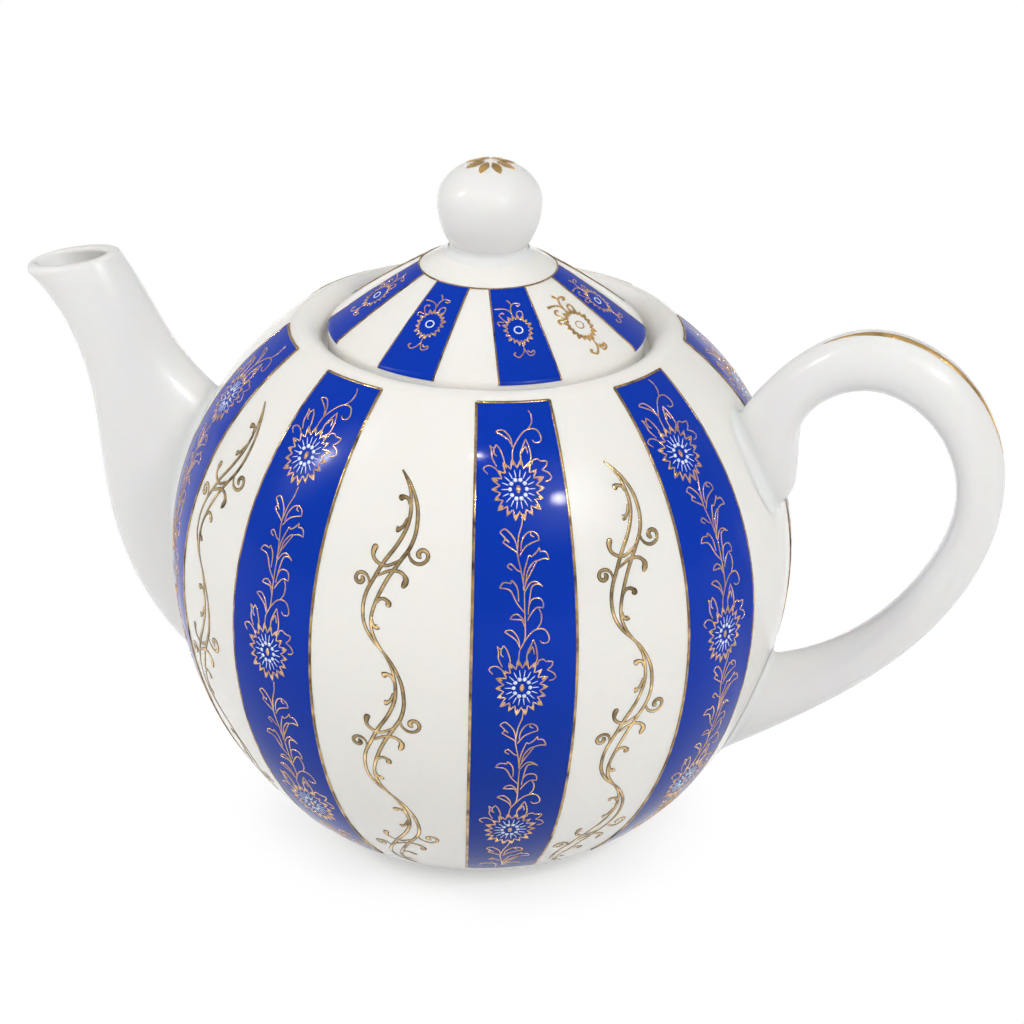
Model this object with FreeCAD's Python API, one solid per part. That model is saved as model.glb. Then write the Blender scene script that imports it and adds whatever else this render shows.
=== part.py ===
import FreeCAD, Part
import math
import os

# A porcelain teapot: a hollow globe with a foot ring and a rolled lip, a curved spout over a strainer,
# an ear handle, a domed lid with a locating collar, a pear-shaped knob, cobalt stripes and a gilt rosette.
# Millimetres. The origin is the centre of the foot ring on the table, +Z is up, the handle points to +X
# and the spout to -X. Outlines in the X-Z plane are pairs (x, height above the belly line).

V = FreeCAD.Vector
UP = V(0, 0, 1)

# Globe
belly_radius = 68.0  # widest radius of the globe
belly_height = 66.2  # height of the widest line above the table
shoulder_rise = 65.0  # upper half-ellipse, from the belly line to its pole
bowl_drop = 74.0  # lower half-ellipse, from the belly line to its pole
wall = 3.2  # thickness of the globe
base_thickness = 4.0  # floor of the pot
foot_radius = 29.5  # outside of the foot ring
foot_width = 3.6  # thickness of the foot ring
foot_height = 1.6  # height of the foot ring under the bowl
foot_recess = 3.0  # depth of the hollow inside the foot ring
foot_round = 0.8  # rounding of the foot ring's two edges

# Mouth
throat_radius = 29.5  # clear opening under the lid
seat_width = 5.9  # ledge that the lid rests on
lip_round = 4.2  # radius of the rolled lip
gallery_wall = 1.4  # straight wall between the rolled lip and the ledge
ledge_thickness = 3.4  # thickness of the ledge
throat_round = 0.8  # rounding of the throat's two edges

# Strainer
strainer_hole = 5.0  # diameter of each hole
strainer_pitch = 8.6  # from the middle hole to the ring of holes
strainer_ring = 6  # holes round the middle one
strainer_level = -3.0  # middle of the strainer, from the belly line

# Lid
lid_gap = 1.2  # play between the lid's edge and the gallery
collar_gap = 0.7  # play between the collar and the throat
collar_wall = 3.0  # thickness of the collar
collar_depth = 9.0  # length of the collar below the ledge
collar_round = 0.8  # rounding of the collar's lower edges
lid_edge = 5.0  # height of the lid's edge, up to where the dome would meet it
lid_edge_round = 2.2  # rounding of that edge
lid_wall = 3.0  # thickness of the dome
dome_rise = 17.2  # height of the dome from its edge to the knob's seat
dome_bulge = 0.5  # how far the dome swells past a straight cone

# Knob
knob_radius = 11.2  # widest radius
knob_base_radius = 9.2  # foot of the knob on the dome
knob_neck_radius = 8.4  # narrowest radius
knob_neck_rise = 1.8  # height of the neck above the knob's seat
knob_crown = 8.75  # upper half-ellipse of the knob
knob_taper = 14.0  # lower half-ellipse of the knob

# Film of slip that lutes two cast pieces together
slip = 0.05

# Spout: its outer side and its pot side, from the root inside the globe's wall to the mouth
spout_outer = [(-48, -44), (-72, -31.5), (-83.6, -13), (-88, 6), (-91.2, 28), (-98.4, 44), (-107.4, 53)]
spout_inner = [(-50, 19), (-62.5, 28.3), (-71.8, 37.4), (-78.2, 47), (-85, 57.8)]
spout_root_half = 15.0  # half-width at the root
spout_mouth_half = 8.4  # half-width at the mouth
spout_wall = 3.1  # thickness of the spout
spout_lip_round = 1.2  # rounding of the mouth's outer edge
spout_bore_round = 0.8  # rounding of the mouth's inner edge
spout_stations = 12  # sections along the spout
oval_points = 16  # points round each oval section of the spout and the handle

# Handle: its outer side and its finger side, from the upper root to the lower root
handle_outer = [
    (53, 30), (66, 51), (84, 60.6), (102.5, 54), (113.4, 32.5), (106, 2), (83, -23.5), (50, -46),
]
handle_inner = [
    (60, 16.6), (69, 23.6), (69.4, 36.4), (83, 47.4), (97, 42), (103.6, 27.5), (98, 8), (81.5, -10.5), (58, -19),
]
handle_root_half = 6.0  # half-width at the upper root
handle_loop_half = 6.2  # half-width along the loop
handle_foot_half = 8.0  # half-width at the lower root
handle_root_share = 0.3  # share of the handle over which the upper root flares
handle_foot_share = 0.2  # share of the handle over which the lower root flares
handle_stations = 20  # sections along the handle

# Transfers: thin fired enamel on a film of glaze
enamel = 0.15  # thickness of the enamel
enamel_film = 0.02  # glaze film under it
stripe_step = 45.0  # degrees between body stripes
stripe_drift = (-4.0, 0.0, 0.0, -3.0, 3.9, -2.2, 0.8, -3.2)  # degrees off even spacing, laid by hand
stripe_belly_half = 11.0  # half-width of a body stripe at the belly line
stripe_top_half = 7.6  # half-width of a body stripe at its top
stripe_top_radius = 42.6  # where the body stripes start, just under the rolled lip
stripe_foot_radius = 40.7  # where they end above the foot
lid_stripe_angles = (-154.5, -104.5, -58.5, 4.5, 54.75, 105.0, 155.25)  # degrees from the handle, by hand
lid_stripe_rim_half = 6.8  # half-width of a lid stripe at the rim
lid_stripe_ring_half = 3.9  # half-width of a lid stripe at its start
lid_ring_radius = 14.8  # circle round the knob where the lid stripes start
lid_stripe_turn = 20.0  # where the lid stripes end on the rounded edge, degrees above level
petal_count = 8
petal_inner = 1.4  # start of a petal, from the knob's axis
petal_outer = 5.6  # tip of a petal
petal_half = 0.95  # half-width of a petal
rosette_turn = -7.0  # degrees from the handle to the first petal

# Levels and radii that follow from the sizes above
gallery_radius = throat_radius + seat_width
lid_radius = gallery_radius - lid_gap
collar_radius = throat_radius - collar_gap
foot_inner_radius = foot_radius - foot_width


def at(x, height):
    """A point of the X-Z plane, its height measured from the belly line."""
    return V(x, 0, belly_height + height)


def ellipse_height(radius, semi_r, semi_z):
    """Height of a half-ellipse at a radius, from its own middle line."""
    return semi_z * math.sqrt(1 - (radius / semi_r) ** 2)


def ellipse_radius(height, semi_r, semi_z):
    """Radius of a half-ellipse at a height from its own middle line."""
    return semi_r * math.sqrt(1 - (height / semi_z) ** 2)


def ellipse_arc(semi_r, semi_z, first_r, last_r, level=0.0):
    """Arc of a half-ellipse about the axis, between two radii. A negative semi_z makes it hang down."""
    side = at(semi_r, level)
    pole = at(0, level + semi_z)
    ends = (side, pole) if semi_r >= abs(semi_z) else (pole, side)
    curve = Part.Ellipse(ends[0], ends[1], at(0, level))
    points = [at(r, level + ellipse_height(r, semi_r, semi_z)) for r in (first_r, last_r)]
    turns = sorted(curve.parameter(p) for p in points)
    return Part.ArcOfEllipse(curve, turns[0], turns[1]).toBSpline().toShape()


def path(*points):
    """Straight edges from point to point."""
    return [Part.makeLine(a, b) for a, b in zip(points, points[1:])]


def revolved(edges):
    """Solid of revolution of a closed outline about the Z axis."""
    outline = Part.Wire(Part.__sortEdges__(edges))
    return Part.Face(outline).revolve(V(0, 0, 0), UP, 360)


def rounded(solid, rims, radius):
    """Rounds the circular edges that lie at the given (radius, height from the belly line) places."""
    edges = []
    for edge in solid.Edges:
        middle = edge.BoundBox.Center
        reach = edge.BoundBox.XMax
        for rim_radius, height in rims:
            flat = edge.BoundBox.ZLength < 1e-6 and abs(middle.z - belly_height - height) < 1e-6
            if flat and abs(reach - rim_radius) < 1e-6:
                edges.append(edge)
    return solid.makeFillet(radius, edges)


def rolled_lip():
    """Point where the lip's round leaves the shoulder, and the middle of that round, as (radius, height)."""
    low, high = 0.0, math.pi / 2
    for _ in range(60):
        turn = (low + high) / 2
        normal = V(shoulder_rise * math.cos(turn), 0, belly_radius * math.sin(turn)).normalize()
        start = (belly_radius * math.cos(turn), shoulder_rise * math.sin(turn))
        middle = (start[0] - lip_round * normal.x, start[1] - lip_round * normal.z)
        if middle[0] > gallery_radius + lip_round:
            low = turn
        else:
            high = turn
    return start, middle


lip_start, lip_middle = rolled_lip()
seat_level = lip_middle[1] - gallery_wall
edge_level = seat_level + lid_edge
knob_level = edge_level + dome_rise


def globe(grow):
    """The globe as a plain solid, grown by a little, for trimming what is luted onto it."""
    upper = ellipse_arc(belly_radius + grow, shoulder_rise + grow, 0, belly_radius + grow)
    lower = ellipse_arc(belly_radius + grow, -bowl_drop - grow, 0, belly_radius + grow)
    axis = path(at(0, shoulder_rise + grow), at(0, -bowl_drop - grow))
    return revolved([upper, lower] + axis)


def pot_body():
    """Hollow globe with foot ring, rolled lip, ledge for the lid and pierced strainer."""
    table = -belly_height
    neck_level = table + foot_height
    neck_radius = ellipse_radius(neck_level, belly_radius, bowl_drop)
    inner_radius = belly_radius - wall
    ceiling = seat_level - ledge_thickness
    ceiling_radius = ellipse_radius(ceiling, inner_radius, shoulder_rise - wall)
    recess = table + foot_recess
    floor = recess + base_thickness
    floor_radius = ellipse_radius(floor, inner_radius, bowl_drop - wall)
    crest = at(lip_middle[0], lip_middle[1] + lip_round)
    lip_end = at(gallery_radius, lip_middle[1])
    outline = path(
        at(foot_inner_radius, table), at(foot_radius, table),
        at(foot_radius, neck_level), at(neck_radius, neck_level),
    )
    outline.append(ellipse_arc(belly_radius, -bowl_drop, neck_radius, belly_radius))
    outline.append(ellipse_arc(belly_radius, shoulder_rise, belly_radius, lip_start[0]))
    outline.append(Part.Arc(at(*lip_start), crest, lip_end).toShape())
    outline += path(
        lip_end, at(gallery_radius, seat_level), at(throat_radius, seat_level),
        at(throat_radius, ceiling), at(ceiling_radius, ceiling),
    )
    outline.append(ellipse_arc(inner_radius, shoulder_rise - wall, ceiling_radius, inner_radius))
    outline.append(ellipse_arc(inner_radius, wall - bowl_drop, inner_radius, floor_radius))
    outline += path(
        at(floor_radius, floor), at(0, floor), at(0, recess),
        at(foot_inner_radius, recess), at(foot_inner_radius, table),
    )
    body = revolved(outline)
    body = rounded(body, [(foot_inner_radius, table), (foot_radius, table)], foot_round)
    body = rounded(body, [(throat_radius, seat_level), (throat_radius, ceiling)], throat_round)
    return body.cut(Part.makeCompound(strainer_drills()))


def strainer_drills():
    """Drills for the strainer: one in the middle and a ring round it, along the spout."""
    middle = at(-belly_radius - wall, strainer_level)
    turns = [2 * math.pi * k / strainer_ring for k in range(strainer_ring)]
    offsets = [V(0, 0, 0)] + [V(0, math.sin(a), math.cos(a)) * strainer_pitch for a in turns]
    return [Part.makeCylinder(strainer_hole / 2, belly_radius / 2, middle + o, V(1, 0, 0)) for o in offsets]


def horn(outer_points, inner_points, half_width, stations, inset=0.0):
    """Curved solid with oval sections between two outlines; inset draws its skin inwards all round."""
    sides = []
    for points in (outer_points, inner_points):
        curve = Part.BSplineCurve()
        curve.interpolate([at(*p) for p in points])
        sides.append(curve)
    turns = [2 * math.pi * k / oval_points for k in range(oval_points)]
    oval = Part.BSplineCurve()
    oval.interpolate([V(math.cos(a), math.sin(a), 0) for a in turns], PeriodicFlag=True)
    shares = [k / stations for k in range(stations + 1)]
    rows = []
    for share in shares:
        outer, inner = (side.value(side.LastParameter * share) for side in sides)
        middle = (outer + inner) / 2
        reach = (outer - middle).normalize() * (outer.distanceToPoint(middle) - inset)
        half = half_width(share) - inset
        rows.append([middle + reach * p.x + V(0, half * p.y, 0) for p in oval.getPoles()])
    ribs = []
    for points in zip(*rows):
        rib = Part.BSplineCurve()
        rib.interpolate(list(points), Parameters=shares)
        ribs.append(rib)
    skin = Part.BSplineSurface()
    skin.buildFromPolesMultsKnots(
        [rib.getPoles() for rib in ribs], oval.getMultiplicities(), ribs[0].getMultiplicities(),
        oval.getKnots(), ribs[0].getKnots(), True, False, oval.Degree, ribs[0].Degree,
    )
    side = skin.toShape()
    ends = [Part.Face(Part.Wire(edge)) for edge in side.Edges if edge.isClosed()]
    walls = Part.makeCompound([side] + ends)
    walls.sewShape()
    return Part.Solid(walls.Shells[0])


def mouth_edges(shell):
    """Edges round the mouth of the spout."""
    top = at(*spout_inner[-1]).z
    return [e for e in shell.Edges if e.isClosed() and abs(e.BoundBox.ZMax - top) < spout_wall]


def spout():
    """Hollow spout, open to the strainer, with a rounded mouth."""
    def half_width(share):
        return spout_root_half + (spout_mouth_half - spout_root_half) * share

    shell = horn(spout_outer, spout_inner, half_width, spout_stations)
    shell = shell.cut(horn(spout_outer, spout_inner, half_width, spout_stations, spout_wall))
    shell = shell.cut(globe(slip))
    shell = shell.makeFillet(spout_lip_round, [max(mouth_edges(shell), key=lambda e: e.Length)])
    return shell.makeFillet(spout_bore_round, [min(mouth_edges(shell), key=lambda e: e.Length)])


def handle():
    """Ear handle that flares into the globe at both roots."""
    def half_width(share):
        root = max(0, 1 - share / handle_root_share) ** 2
        foot = max(0, 1 - (1 - share) / handle_foot_share) ** 2
        flare = (handle_root_half - handle_loop_half) * root + (handle_foot_half - handle_loop_half) * foot
        return handle_loop_half + flare

    return horn(handle_outer, handle_inner, half_width, handle_stations).cut(globe(slip))


def dome_arc(lift=0.0):
    """Outline of the dome from its edge to the knob's seat, lifted square to the surface."""
    edge = at(lid_radius, edge_level)
    top = at(knob_base_radius, knob_level)
    square = (top - edge).cross(V(0, 1, 0)).normalize() * -1
    circle = Part.Arc(edge, (edge + top) / 2 + square * dome_bulge, top).toShape().Curve
    return circle.Center, circle.Radius + lift


def dome_point(radius, lift=0.0):
    """Point of the dome at a radius from the axis."""
    centre, reach = dome_arc(lift)
    return V(radius, 0, centre.z + math.sqrt(reach ** 2 - (radius - centre.x) ** 2))


def dome_edge(first_r, last_r, lift=0.0):
    """Edge along the dome between two radii."""
    points = [dome_point(r, lift) for r in (first_r, (first_r + last_r) / 2, last_r)]
    return Part.Arc(*points).toShape()


def rim_middle():
    """Middle of the lid's rounded edge, and the angle above level, in degrees, where the dome meets it."""
    centre, reach = dome_arc()
    x = lid_radius - lid_edge_round
    middle = V(x, 0, centre.z + math.sqrt((reach - lid_edge_round) ** 2 - (x - centre.x) ** 2))
    return middle, math.degrees(math.atan2(middle.z - centre.z, middle.x - centre.x))


def rim_point(turn, lift=0.0):
    """Point of the lid's rounded edge at an angle above level in degrees."""
    middle, _ = rim_middle()
    reach = lid_edge_round + lift
    return middle + V(math.cos(math.radians(turn)), 0, math.sin(math.radians(turn))) * reach


def lid_top(first_r, last_turn, lift=0.0):
    """Edges over the top of the lid, from a radius on the dome to an angle on the rounded edge."""
    _, dome_turn = rim_middle()
    bends = [rim_point(t, lift) for t in (dome_turn, (dome_turn + last_turn) / 2, last_turn)]
    return [dome_edge(first_r, bends[0].x, lift), Part.Arc(*bends).toShape()]


def lid():
    """Domed lid with a rounded edge and a collar that drops into the throat."""
    collar_inner = collar_radius - collar_wall
    collar_end = seat_level - collar_depth
    under_top = dome_point(knob_base_radius, -lid_wall)
    under_edge = dome_point(collar_inner, -lid_wall)
    outline = path(
        under_edge, at(collar_inner, collar_end), at(collar_radius, collar_end),
        at(collar_radius, seat_level), at(lid_radius, seat_level), rim_point(0),
    )
    outline += lid_top(knob_base_radius, 0)
    outline += path(at(knob_base_radius, knob_level), at(0, knob_level), V(0, 0, under_top.z), under_top)
    outline.append(dome_edge(knob_base_radius, collar_inner, -lid_wall))
    return rounded(revolved(outline), [(collar_inner, collar_end), (collar_radius, collar_end)], collar_round)


def knob_middle():
    """Level of the knob's widest line."""
    return knob_level + slip + knob_neck_rise + ellipse_height(knob_neck_radius, knob_radius, knob_taper)


def lid_knob():
    """Pear-shaped knob on a small flared foot."""
    foot = knob_level + slip
    middle = knob_middle()
    neck = at(knob_neck_radius, foot + knob_neck_rise)
    bend = at(knob_neck_radius + (knob_base_radius - knob_neck_radius) / 5, foot + knob_neck_rise / 3)
    outline = path(at(0, middle + knob_crown), at(0, foot), at(knob_base_radius, foot))
    outline.append(Part.Arc(at(knob_base_radius, foot), bend, neck).toShape())
    outline.append(ellipse_arc(knob_radius, -knob_taper, knob_neck_radius, knob_radius, middle))
    outline.append(ellipse_arc(knob_radius, knob_crown, 0, knob_radius, middle))
    return revolved(outline)


def wedge(angle, near, near_half, far, far_half):
    """Upright cutter with a tapering plan, pointing from the axis at an angle in degrees."""
    corners = [V(near, -near_half, 0), V(far, -far_half, 0), V(far, far_half, 0), V(near, near_half, 0)]
    plan = Part.Face(Part.makePolygon(corners + corners[:1]))
    cutter = plan.extrude(UP * (belly_height + knob_level))
    cutter.rotate(V(0, 0, 0), UP, angle)
    return cutter


def body_stripes():
    """Cobalt stripes from the lip to the foot, a little off even spacing."""
    inner = belly_radius + enamel_film
    outer = inner + enamel
    rise = shoulder_rise + enamel_film
    fall = -bowl_drop - enamel_film
    skin = []
    for side, up, down in ((inner, rise, fall), (outer, rise + enamel, fall - enamel)):
        skin.append(ellipse_arc(side, up, stripe_top_radius, side))
        skin.append(ellipse_arc(side, down, stripe_foot_radius, side))
    for radius, height, growth in ((stripe_top_radius, rise, enamel), (stripe_foot_radius, fall, -enamel)):
        first = at(radius, ellipse_height(radius, inner, height))
        skin += path(first, at(radius, ellipse_height(radius, outer, height + growth)))
    band = revolved(skin)
    slope = (stripe_belly_half - stripe_top_half) / (belly_radius - stripe_top_radius)
    near = stripe_foot_radius / 2
    far = belly_radius + wall
    stripes = {}
    for k, drift in enumerate(stripe_drift):
        angle = stripe_step * (k + 0.5) + drift
        near_half = stripe_top_half + slope * (near - stripe_top_radius)
        far_half = stripe_top_half + slope * (far - stripe_top_radius)
        stripes["body_stripe_%d" % (k + 1)] = band.common(wedge(angle, near, near_half, far, far_half))
    return stripes


def lid_stripes():
    """Cobalt stripes on the lid, from the ring round the knob over the rounded edge."""
    low = enamel_film
    high = enamel_film + enamel
    skin = lid_top(lid_ring_radius, lid_stripe_turn, low) + lid_top(lid_ring_radius, lid_stripe_turn, high)
    skin += path(dome_point(lid_ring_radius, low), dome_point(lid_ring_radius, high))
    skin += path(rim_point(lid_stripe_turn, low), rim_point(lid_stripe_turn, high))
    band = revolved(skin)
    near = lid_ring_radius / 2
    far = gallery_radius
    slope = (lid_stripe_rim_half - lid_stripe_ring_half) / (lid_radius - lid_ring_radius)
    near_half = lid_stripe_ring_half + slope * (near - lid_ring_radius)
    far_half = lid_stripe_rim_half + slope * (far - lid_radius)
    stripes = {}
    for k, angle in enumerate(lid_stripe_angles):
        cutter = wedge(angle, near, near_half, far, far_half)
        stripes["lid_stripe_%d" % (k + 1)] = band.common(cutter)
    return stripes


def knob_rosette():
    """Ring of pointed gilt petals on the knob's crown."""
    middle = knob_middle()
    inner = knob_radius + enamel_film
    outer = inner + enamel
    rise = knob_crown + enamel_film
    skin = [ellipse_arc(inner, rise, 0, petal_outer, middle)]
    skin.append(ellipse_arc(outer, rise + enamel, 0, petal_outer, middle))
    tip = at(petal_outer, middle + ellipse_height(petal_outer, inner, rise))
    skin += path(at(0, middle + rise), at(0, middle + rise + enamel))
    skin += path(tip, at(petal_outer, middle + ellipse_height(petal_outer, outer, rise + enamel)))
    cap = revolved(skin)
    start = V(petal_inner, 0, 0)
    point = V(petal_outer, 0, 0)
    bows = [V((petal_inner + petal_outer) / 2, side * petal_half, 0) for side in (1, -1)]
    edges = [Part.Arc(start, bow, point).toShape() for bow in bows]
    leaf = Part.Face(Part.Wire(Part.__sortEdges__(edges))).extrude(UP * (2 * belly_height + knob_level))
    petals = []
    for k in range(petal_count):
        cutter = leaf.copy()
        cutter.rotate(V(0, 0, 0), UP, rosette_turn + 360 * k / petal_count)
        petals += cap.common(cutter).Solids
    return Part.makeCompound(petals)


def teapot():
    """Every piece by name."""
    pieces = {
        "pot_body": pot_body(),
        "spout": spout(),
        "handle": handle(),
        "lid": lid(),
        "lid_knob": lid_knob(),
        "knob_rosette": knob_rosette(),
    }
    pieces.update(body_stripes())
    pieces.update(lid_stripes())
    return pieces


os.makedirs("parts", exist_ok=True)
for name, shape in teapot().items():
    shape.exportStep("parts/%s.step" % name)
    box = shape.BoundBox
    print("%-14s solids %d  valid %s  volume %9.1f mm3  x %7.1f to %7.1f  z %6.1f to %6.1f" % (
        name, len(shape.Solids), shape.isValid(), shape.Volume, box.XMin, box.XMax, box.ZMin, box.ZMax))
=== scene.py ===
# %% [markdown]
# # A striped porcelain teapot
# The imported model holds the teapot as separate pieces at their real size: globe, spout, handle, lid, knob
# and the coloured transfers. This lesson loads it, lights it as for a catalogue, and dresses it: glazed
# porcelain, cobalt, and gilt lines and ornament that lie on the glaze. Lengths are metres, +Z is up, the
# handle points to +X, and the spout to -X.

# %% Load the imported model
import bisect
import math
import bpy
from mathutils import Matrix, Vector


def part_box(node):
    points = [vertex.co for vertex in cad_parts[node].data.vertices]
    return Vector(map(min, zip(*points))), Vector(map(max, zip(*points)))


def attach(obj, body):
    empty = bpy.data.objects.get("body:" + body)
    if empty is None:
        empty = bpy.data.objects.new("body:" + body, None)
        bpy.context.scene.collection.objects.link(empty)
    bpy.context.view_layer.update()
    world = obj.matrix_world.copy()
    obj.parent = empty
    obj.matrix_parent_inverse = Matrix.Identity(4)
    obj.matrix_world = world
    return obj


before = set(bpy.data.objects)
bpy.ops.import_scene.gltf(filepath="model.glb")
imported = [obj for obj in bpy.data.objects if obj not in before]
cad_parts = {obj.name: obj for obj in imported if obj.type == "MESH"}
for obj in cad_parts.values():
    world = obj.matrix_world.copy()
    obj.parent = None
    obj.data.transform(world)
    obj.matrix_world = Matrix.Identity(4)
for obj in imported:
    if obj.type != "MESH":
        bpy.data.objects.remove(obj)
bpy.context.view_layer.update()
mm = 0.001

# %% [markdown]
# ## Camera
# The picture looks down at the teapot from a little to the right of its front, with a long lens, so lines
# that run away from us hardly narrow. A camera can be aimed by a constraint, but three plain turns keep its
# small roll exact: round the upright axis, down, and about its own line of sight.

# %% Camera
view_turn = math.radians(15.5)  # how far the camera stands round from the front, towards the handle
eye_distance = 0.7071  # level distance from the pot's axis
eye_height = 0.3898  # above the table
look_down = math.radians(24.10)
look_aside = math.radians(0.52)
camera_roll = math.radians(1.48)
camera_lens = 123.6  # millimetres, on a sensor 36 mm wide


def around(azimuth, elevation, distance):
    """Point seen from the pot's foot: azimuth 0 is the camera's side and grows to the right, in degrees."""
    turn = view_turn + math.radians(azimuth)
    level = distance * math.cos(math.radians(elevation))
    rise = distance * math.sin(math.radians(elevation))
    return Vector((level * math.sin(turn), -level * math.cos(turn), rise))


camera = bpy.data.objects.new("camera", bpy.data.cameras.new("camera"))
camera.data.lens = camera_lens
eye = around(0, 0, eye_distance) + Vector((0, 0, eye_height))
aim = Matrix.Rotation(view_turn - look_aside, 4, "Z") @ Matrix.Rotation(math.pi / 2 - look_down, 4, "X")
camera.matrix_world = Matrix.Translation(eye) @ aim @ Matrix.Rotation(camera_roll, 4, "Z")
bpy.context.scene.collection.objects.link(camera)
bpy.context.scene.camera = camera
bpy.context.scene.view_settings.view_transform = "Standard"
print("Camera at", [round(c, 3) for c in eye])

# %% [markdown]
# ## Studio light
# Glossy porcelain is a mirror with a white heart. What it mirrors matters as much as what lights it. Two
# broad softboxes leave soft patches with a bright spot on the globe's shoulders. A small lamp high in front
# adds glints, and a dim room keeps the cobalt deep between them. A real softbox is brightest in its middle
# and fades out to its edge. A lamp has shader nodes too: Geometry's Parametric runs from 0 to 1 across a
# lamp, so the distance from its middle can dim it. Lamps and finishes are both wired from nodes, so three
# small helpers come first.

# %% Helpers for shader nodes
def set_inputs(tree, node, inputs):
    """Fills a node's inputs, by name or number: a socket is linked, anything else is a plain value."""
    for name, value in inputs.items():
        if isinstance(value, bpy.types.NodeSocket):
            tree.links.new(value, node.inputs[name])
        else:
            node.inputs[name].default_value = value


def add_node(tree, kind, inputs, **settings):
    """Adds a shader node, with its own settings, and fills its inputs."""
    node = tree.nodes.new("ShaderNode" + kind)
    for name, value in settings.items():
        setattr(node, name, value)
    set_inputs(tree, node, inputs)
    return node


def ramp(tree, value, start, end, low, high, kind="SMOOTHSTEP"):
    """Runs from low to high while a value runs from a start to an end, each a number or a socket."""
    inputs = {"Value": value, "From Min": start, "From Max": end, "To Min": low, "To Max": high}
    return add_node(tree, "MapRange", inputs, interpolation_type=kind).outputs["Result"]


# %% Softboxes and room
lamp_target = Vector((0, 0, 0.07))
lamp_distance = 1.5
lamp_middle = (0.5, 0.5, 0)  # across a lamp, in shares of its sides
lamp_edge = 0.5  # from there to the edge
cloth_glow = 1.15  # strength over the whole cloth, at its middle
room_glow = 0.60
room_colour = (1.0, 0.99, 0.97, 1)


def softbox(name, azimuth, elevation, width, height, power, spin, bulb_glow, bulb_share):
    """Soft-edged lamp that looks at the pot, turned about its own line of sight by a spin in degrees.

    The bulb behind the cloth adds its own glow, over a share of the cloth's reach.
    """
    data = bpy.data.lights.new(name, "AREA")
    data.shape = "RECTANGLE"
    data.size = width
    data.size_y = height
    data.energy = power
    data.use_nodes = True
    tree = data.node_tree
    across = add_node(tree, "NewGeometry", {}).outputs["Parametric"]
    reach = add_node(tree, "VectorMath", {0: across, 1: lamp_middle}, operation="DISTANCE").outputs["Value"]
    cloth = ramp(tree, reach, 0, lamp_edge, cloth_glow, 0)
    bulb = ramp(tree, reach, 0, lamp_edge * bulb_share, bulb_glow, 0)
    total = add_node(tree, "Math", {0: cloth, 1: bulb}, operation="ADD").outputs["Value"]
    set_inputs(tree, tree.nodes["Emission"], {"Strength": total})

    lamp = bpy.data.objects.new(name, data)
    spot = around(azimuth, elevation, lamp_distance)
    look = (lamp_target - spot).to_track_quat("-Z", "Y").to_matrix().to_4x4()
    lamp.matrix_world = Matrix.Translation(spot) @ look @ Matrix.Rotation(math.radians(spin), 4, "Z")
    bpy.context.scene.collection.objects.link(lamp)


softbox("softbox_left", azimuth=-80, elevation=38, width=1.50, height=0.60, power=10.5, spin=72,
        bulb_glow=27.0, bulb_share=0.20)
softbox("softbox_right", azimuth=35, elevation=42.5, width=1.25, height=1.05, power=15.5, spin=-10,
        bulb_glow=56.0, bulb_share=0.12)
softbox("small_lamp", azimuth=-3, elevation=61, width=0.18, height=0.06, power=2.0, spin=0,
        bulb_glow=7.0, bulb_share=0.45)

world = bpy.data.worlds.new("room")
bpy.context.scene.world = world
world.use_nodes = True
room = world.node_tree.nodes["Background"]
set_inputs(world.node_tree, room, {"Color": room_colour, "Strength": room_glow})

# %% [markdown]
# ## Node groups that the finishes share
# Three effects turn up in more than one finish, so each is a node group with its own named sockets. Fired
# glaze is never quite even: it flows a little, so its gloss and its surface wander over a few centimetres.
# The colour under it pools deeper here and there, and a painted shade darkens it towards the foot. Gold is
# rubbed thin by washing, and the thin places are duller; their darker colour is partly painted shade.
# Where a mesh stores an edge attribute, gold also takes a painted shade along the edges of its strokes.
# Noise in object coordinates needs no unwrapping, and it runs on unbroken from one piece to the next.

# %% Helpers for node groups
noise_low = 0.3  # nearly all noise lies between these two
noise_high = 0.7


def new_group(name, inputs, outputs):
    """Empty shader node group with named sockets; returns the group and its inner input and output nodes."""
    group = bpy.data.node_groups.new(name, "ShaderNodeTree")
    for in_out, sockets in (("INPUT", inputs), ("OUTPUT", outputs)):
        for socket, kind in sockets:
            group.interface.new_socket(name=socket, in_out=in_out, socket_type="NodeSocket" + kind)
    return group, group.nodes.new("NodeGroupInput"), group.nodes.new("NodeGroupOutput")


def noise(tree, scale_socket, detail, stretch=1.0):
    """Noise texture in object coordinates whose scale comes from a socket, times a stretch."""
    place = add_node(tree, "TexCoord", {}).outputs["Object"]
    scale = add_node(tree, "Math", {0: scale_socket, 1: stretch}, operation="MULTIPLY").outputs["Value"]
    return add_node(tree, "TexNoise", {"Vector": place, "Scale": scale, "Detail": detail}).outputs["Fac"]


def spread(tree, value, low, high):
    """Noise is bunched about its middle; this spreads it out between two sockets or numbers."""
    return ramp(tree, value, noise_low, noise_high, low, high, "LINEAR")


def shade_to_foot(tree, height_socket):
    """Share of painted shade that grows from 0 at a height over the table to 1 at the table."""
    place = add_node(tree, "TexCoord", {}).outputs["Object"]
    height = add_node(tree, "SeparateXYZ", {"Vector": place}).outputs["Z"]
    return ramp(tree, height, 0, height_socket, 1, 0, "LINEAR")


def blend_colours(tree, share, first, second):
    """Mix of two colour sockets."""
    inputs = {"Factor": share, "A": first, "B": second}
    return add_node(tree, "Mix", inputs, data_type="RGBA").outputs["Result"]


# %% Glaze flow, fired tint and gilt wear, with painted shade in both tints
cloud_share = 0.35  # how far the colour's clouds may pool
gilt_glossiest = 0.16
gilt_dullest = 0.34
edge_shade_start = 0.5  # value of the edge attribute where the painted shade along a stroke's edge begins
edge_shade_full = 0.7

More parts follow.
